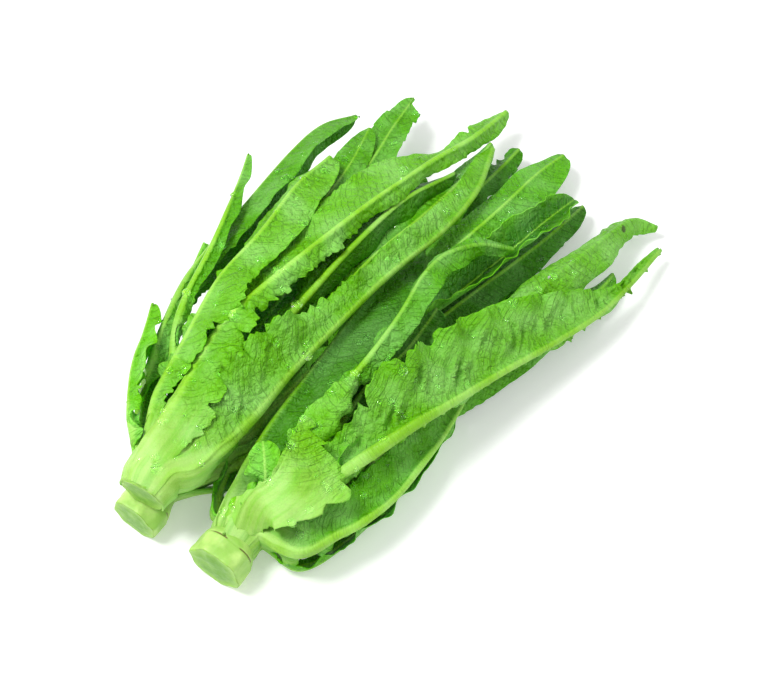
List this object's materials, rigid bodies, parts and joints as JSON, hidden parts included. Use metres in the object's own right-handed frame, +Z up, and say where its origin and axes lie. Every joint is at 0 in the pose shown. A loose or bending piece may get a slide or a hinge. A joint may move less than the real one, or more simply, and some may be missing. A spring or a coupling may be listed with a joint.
{
  "type": "leafy greens bunch",
  "caption": "Bunch of long-leaved greens lying down: heads with cut pale stems, broad-ribbed leaves with jagged, waved margins that spread to the tips.",
  "frame": {"origin": "centre of the bounding box's base, on the surface the bunch lies on", "axes": "+X along the bunch from the cut ends to the leaf tips, +Y to its left seen from above, +Z up"},
  "size_m": [0.3481, 0.2223, 0.075],
  "materials": {
    "leaf": "satin, waxy",
    "stem": "satin, moist cut"
  },
  "bodies": {
    "root": {"butt_a": "stem", "butt_b": "stem", "butt_c": "stem", "leaf_b1": "leaf", "leaf_b2": "leaf", "leaf_b3": "leaf", "leaf_c1": "leaf", "leaf_c2": "leaf", "leaf_c3": "leaf", "leaf_b4": "leaf", "leaf_b5": "leaf", "leaf_b6": "leaf", "leaf_b7": "leaf", "leaf_b8": "leaf", "leaf_c4": "leaf", "leaf_c5": "leaf", "leaf_c6": "leaf", "leaf_c7": "leaf", "leaf_c8": "leaf", "leaf_c9": "leaf", "leaf_c10": "leaf", "leaf_c11": "leaf", "leaf_c14": "leaf", "leaf_c12": "leaf", "leaf_c13": "leaf", "leaf_a1": "leaf", "leaf_a2": "leaf", "leaf_a3": "leaf", "leaf_a4": "leaf", "leaf_a5": "leaf", "leaf_a6": "leaf", "leaf_a7": "leaf", "leaf_a8": "leaf", "leaf_a9": "leaf", "leaf_a10": "leaf", "leaf_a11": "leaf"}
  },
  "joints": []
}
